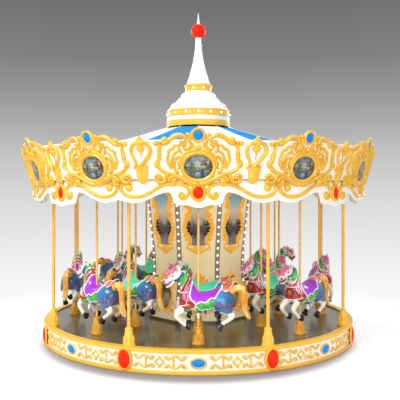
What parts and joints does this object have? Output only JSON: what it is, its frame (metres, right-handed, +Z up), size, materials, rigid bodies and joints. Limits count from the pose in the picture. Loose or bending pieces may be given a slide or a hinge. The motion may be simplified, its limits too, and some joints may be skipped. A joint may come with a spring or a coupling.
{
  "type": "fairground carousel",
  "caption": "Round fairground carousel: horses on poles in two rings on a turning platform, centre drum, scalloped canopy with flared cornice, cone roof, spire.",
  "frame": {"origin": "on the carousel's vertical axis, at ground level", "axes": "+Z up along the axis; -Y is the side that the picture shows, +X to its right"},
  "size_m": [6.4906, 6.4906, 5.985],
  "materials": {
    "steel": "satin",
    "deck_grey": "satin",
    "gold_paint": "gloss",
    "white_paint": "gloss",
    "drum_cream": "satin",
    "roof_blue": "matte",
    "red_paint": "gloss",
    "brass": "polished",
    "horse_white": "gloss"
  },
  "bodies": {
    "ground_base": {"base_plate": "steel", "bearing_hub": "steel"},
    "turntable": {"deck": "deck_grey", "platform_ring": "gold_paint", "post_1": "gold_paint", "post_2": "gold_paint", "post_3": "gold_paint", "post_4": "gold_paint", "post_5": "gold_paint", "post_6": "gold_paint", "post_7": "gold_paint", "post_8": "gold_paint", "centre_drum": "drum_cream", "valance": "white_paint", "cornice": "gold_paint", "ceiling": "white_paint", "roof": "roof_blue", "mast": "steel", "cupola_drum": "gold_paint", "cupola_bell": "white_paint", "cupola_collar": "gold_paint", "spire": "white_paint", "finial_ball": "red_paint", "finial_point": "red_paint"},
    "carousel_horse_outer_1": {"pole_outer_1": "brass", "horse_outer_1": "horse_white"},
    "carousel_horse_outer_2": {"pole_outer_2": "brass", "horse_outer_2": "horse_white"},
    "carousel_horse_outer_3": {"pole_outer_3": "brass", "horse_outer_3": "horse_white"},
    "carousel_horse_outer_4": {"pole_outer_4": "brass", "horse_outer_4": "horse_white"},
    "carousel_horse_outer_5": {"pole_outer_5": "brass", "horse_outer_5": "horse_white"},
    "carousel_horse_outer_6": {"pole_outer_6": "brass", "horse_outer_6": "horse_white"},
    "carousel_horse_outer_7": {"pole_outer_7": "brass", "horse_outer_7": "horse_white"},
    "carousel_horse_outer_8": {"pole_outer_8": "brass", "horse_outer_8": "horse_white"},
    "carousel_horse_inner_1": {"pole_inner_1": "brass", "horse_inner_1": "horse_white"},
    "carousel_horse_inner_2": {"pole_inner_2": "brass", "horse_inner_2": "horse_white"},
    "carousel_horse_inner_3": {"pole_inner_3": "brass", "horse_inner_3": "horse_white"},
    "carousel_horse_inner_4": {"pole_inner_4": "brass", "horse_inner_4": "horse_white"},
    "carousel_horse_inner_5": {"pole_inner_5": "brass", "horse_inner_5": "horse_white"},
    "carousel_horse_inner_6": {"pole_inner_6": "brass", "horse_inner_6": "horse_white"},
    "carousel_horse_inner_7": {"pole_inner_7": "brass", "horse_inner_7": "horse_white"},
    "carousel_horse_inner_8": {"pole_inner_8": "brass", "horse_inner_8": "horse_white"}
  },
  "joints": [
    {"name": "turntable_spin", "type": "hinge", "parent": "ground_base", "child": "turntable", "pos_m": [0, 0, 0], "axis": [0, 0, 1], "continuous": true},
    {"name": "outer_1_lift", "type": "slide", "parent": "turntable", "child": "carousel_horse_outer_1", "axis": [0, 0, 1], "range_m": [-0.1, 0.1]},
    {"name": "outer_2_lift", "type": "slide", "parent": "turntable", "child": "carousel_horse_outer_2", "axis": [0, 0, 1], "range_m": [-0.1, 0.1]},
    {"name": "outer_3_lift", "type": "slide", "parent": "turntable", "child": "carousel_horse_outer_3", "axis": [0, 0, 1], "range_m": [-0.1, 0.1]},
    {"name": "outer_4_lift", "type": "slide", "parent": "turntable", "child": "carousel_horse_outer_4", "axis": [0, 0, 1], "range_m": [-0.1, 0.1]},
    {"name": "outer_5_lift", "type": "slide", "parent": "turntable", "child": "carousel_horse_outer_5", "axis": [0, 0, 1], "range_m": [-0.1, 0.1]},
    {"name": "outer_6_lift", "type": "slide", "parent": "turntable", "child": "carousel_horse_outer_6", "axis": [0, 0, 1], "range_m": [-0.1, 0.1]},
    {"name": "outer_7_lift", "type": "slide", "parent": "turntable", "child": "carousel_horse_outer_7", "axis": [0, 0, 1], "range_m": [-0.1, 0.1]},
    {"name": "outer_8_lift", "type": "slide", "parent": "turntable", "child": "carousel_horse_outer_8", "axis": [0, 0, 1], "range_m": [-0.1, 0.1]},
    {"name": "inner_1_lift", "type": "slide", "parent": "turntable", "child": "carousel_horse_inner_1", "axis": [0, 0, 1], "range_m": [-0.1, 0.1]},
    {"name": "inner_2_lift", "type": "slide", "parent": "turntable", "child": "carousel_horse_inner_2", "axis": [0, 0, 1], "range_m": [-0.1, 0.1]},
    {"name": "inner_3_lift", "type": "slide", "parent": "turntable", "child": "carousel_horse_inner_3", "axis": [0, 0, 1], "range_m": [-0.1, 0.1]},
    {"name": "inner_4_lift", "type": "slide", "parent": "turntable", "child": "carousel_horse_inner_4", "axis": [0, 0, 1], "range_m": [-0.1, 0.1]},
    {"name": "inner_5_lift", "type": "slide", "parent": "turntable", "child": "carousel_horse_inner_5", "axis": [0, 0, 1], "range_m": [-0.1, 0.1]},
    {"name": "inner_6_lift", "type": "slide", "parent": "turntable", "child": "carousel_horse_inner_6", "axis": [0, 0, 1], "range_m": [-0.1, 0.1]},
    {"name": "inner_7_lift", "type": "slide", "parent": "turntable", "child": "carousel_horse_inner_7", "axis": [0, 0, 1], "range_m": [-0.1, 0.1]},
    {"name": "inner_8_lift", "type": "slide", "parent": "turntable", "child": "carousel_horse_inner_8", "axis": [0, 0, 1], "range_m": [-0.1, 0.1]}
  ],
  "couplings": [
    {"joint": "outer_2_lift", "follows": "outer_1_lift", "ratio": -1},
    {"joint": "outer_3_lift", "follows": "outer_1_lift", "ratio": 1},
    {"joint": "outer_4_lift", "follows": "outer_1_lift", "ratio": -1},
    {"joint": "outer_5_lift", "follows": "outer_1_lift", "ratio": 1},
    {"joint": "outer_6_lift", "follows": "outer_1_lift", "ratio": -1},
    {"joint": "outer_7_lift", "follows": "outer_1_lift", "ratio": 1},
    {"joint": "outer_8_lift", "follows": "outer_1_lift", "ratio": -1},
    {"joint": "inner_1_lift", "follows": "outer_1_lift", "ratio": -1},
    {"joint": "inner_2_lift", "follows": "outer_1_lift", "ratio": 1},
    {"joint": "inner_3_lift", "follows": "outer_1_lift", "ratio": -1},
    {"joint": "inner_4_lift", "follows": "outer_1_lift", "ratio": 1},
    {"joint": "inner_5_lift", "follows": "outer_1_lift", "ratio": -1},
    {"joint": "inner_6_lift", "follows": "outer_1_lift", "ratio": 1},
    {"joint": "inner_7_lift", "follows": "outer_1_lift", "ratio": -1},
    {"joint": "inner_8_lift", "follows": "outer_1_lift", "ratio": 1}
  ]
}
